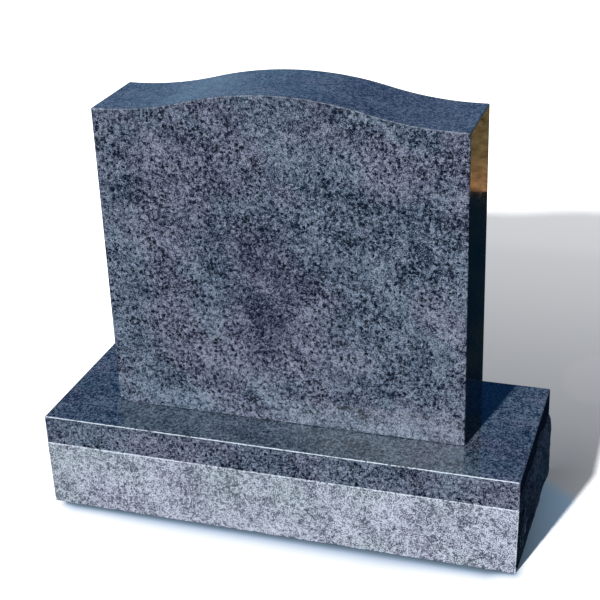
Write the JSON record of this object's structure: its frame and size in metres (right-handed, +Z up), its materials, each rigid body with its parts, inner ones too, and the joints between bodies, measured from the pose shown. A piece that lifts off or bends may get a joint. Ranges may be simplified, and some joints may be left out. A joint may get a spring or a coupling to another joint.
{
  "type": "headstone",
  "caption": "Upright granite headstone: polished tablet with a serpentine top on a wide base with polished margin, steeled front and rock-pitched ends and back.",
  "frame": {"origin": "on the ground, under the middle of the base's polished outline", "axes": "+Z up, +X to the right and +Y to the back as seen by a person who faces the stone"},
  "size_m": [0.846, 0.3459, 0.7385],
  "materials": {
    "polished_granite": "polished blue-grey granite with dark crystals and soft lilac and teal clouds",
    "base_granite": "the same granite: polished top and margin, pale steeled front, broken rock-pitched ends and back"
  },
  "bodies": {
    "root": {"tablet": "polished_granite", "base": "base_granite"}
  },
  "joints": []
}
